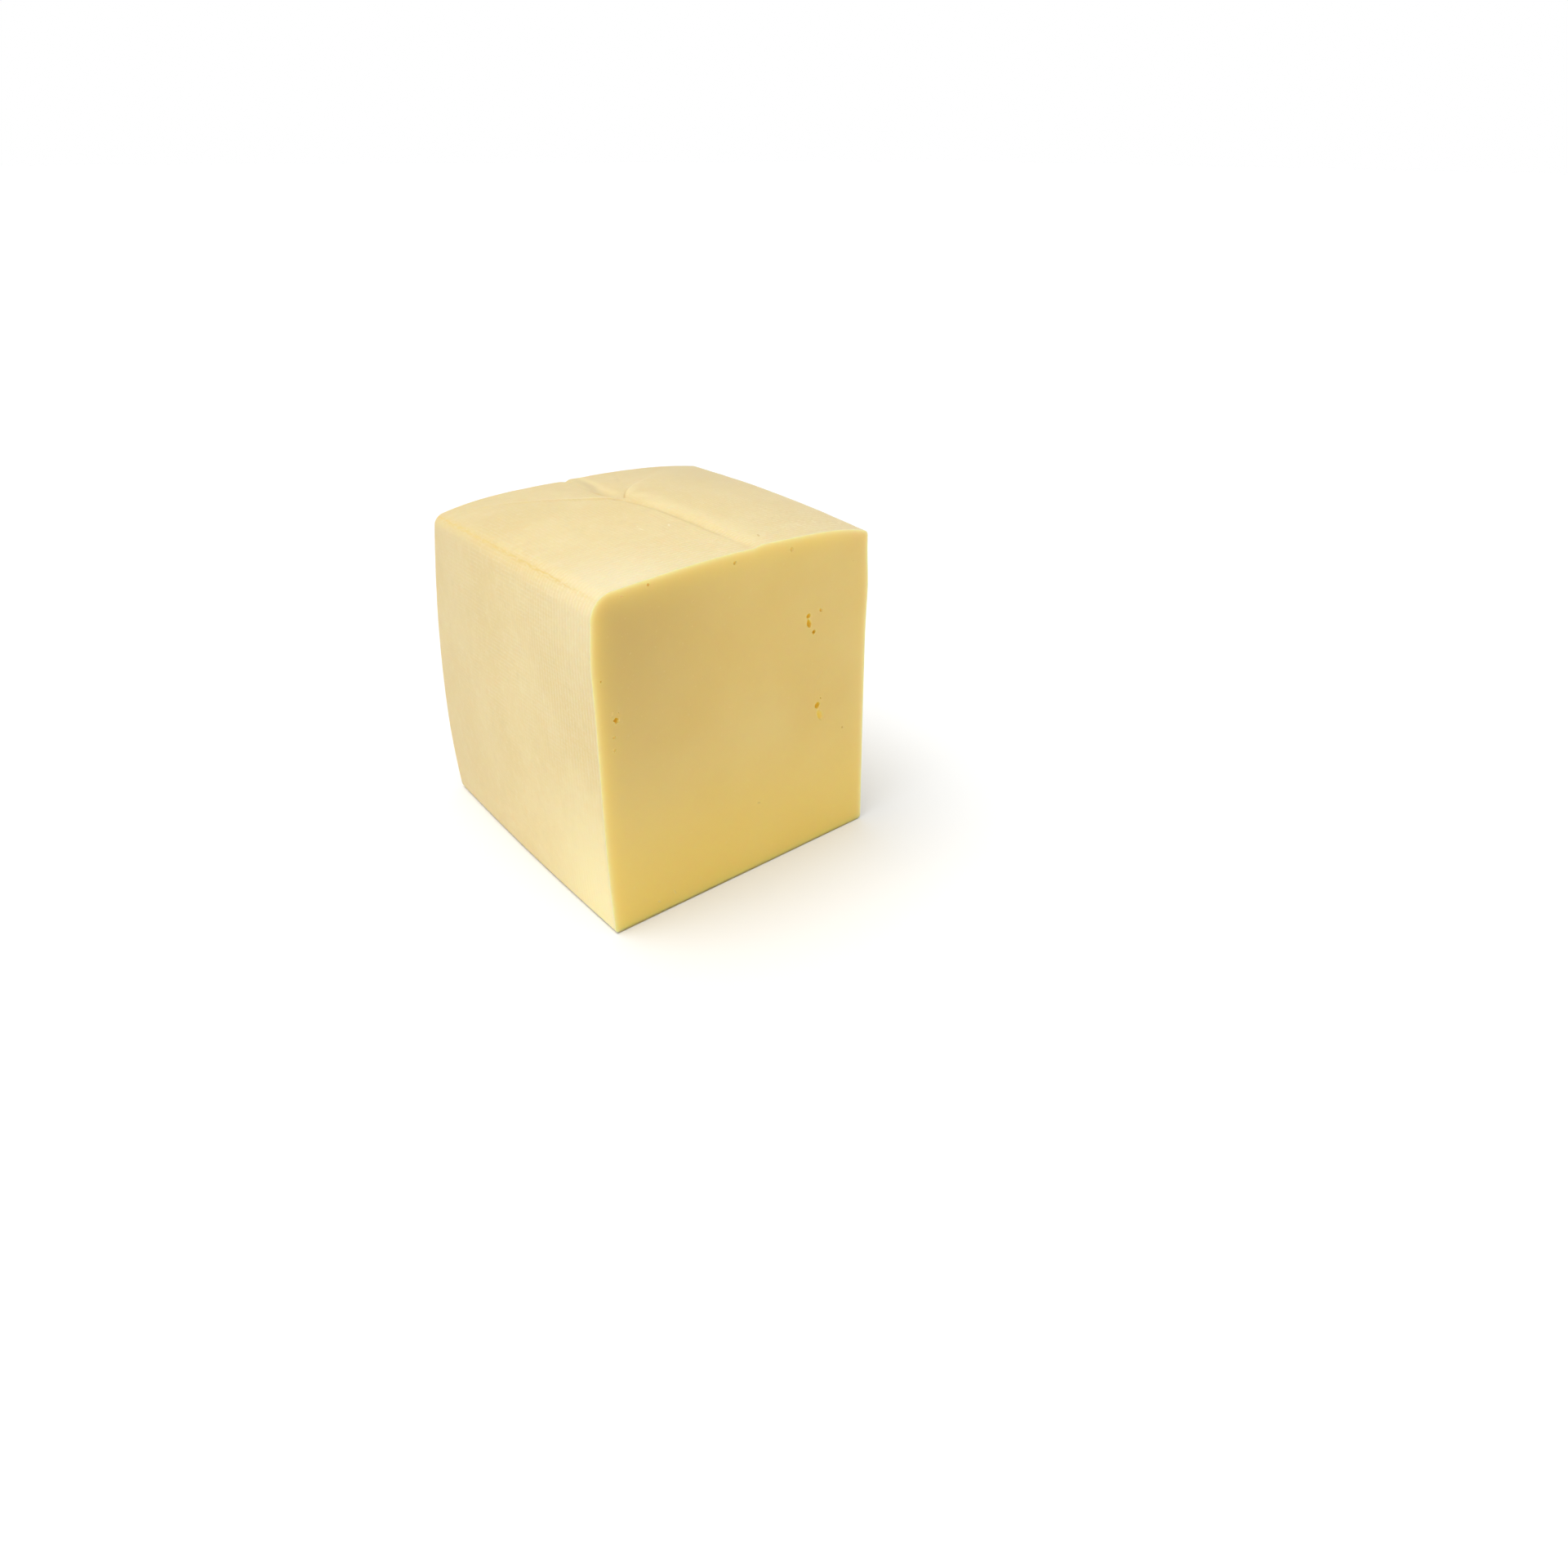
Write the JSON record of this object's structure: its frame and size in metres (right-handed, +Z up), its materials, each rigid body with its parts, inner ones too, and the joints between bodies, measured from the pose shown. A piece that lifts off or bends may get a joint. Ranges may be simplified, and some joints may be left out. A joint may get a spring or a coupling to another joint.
{
  "type": "cheese block",
  "caption": "Block of pale yellow semi-hard cheese, the end piece of a square loaf with a fresh cut face, a crowned top with a pressed seam and small eyes in the cut.",
  "frame": {"origin": "bottom centre of the block's bounding box, on the flat underside it stands on", "axes": "+Z up, +Y along the loaf from the fresh cut to the far end, +X to the right as seen facing the cut, which faces -Y and runs 4.65 degrees askew"},
  "size_m": [0.1028, 0.1106, 0.105],
  "materials": {
    "cheese": "pale yellow cheese: smooth and slightly waxy on the fresh cut, matte with a fine cloth imprint on the rind"
  },
  "bodies": {
    "root": {"cheese_block": "cheese"}
  },
  "joints": []
}
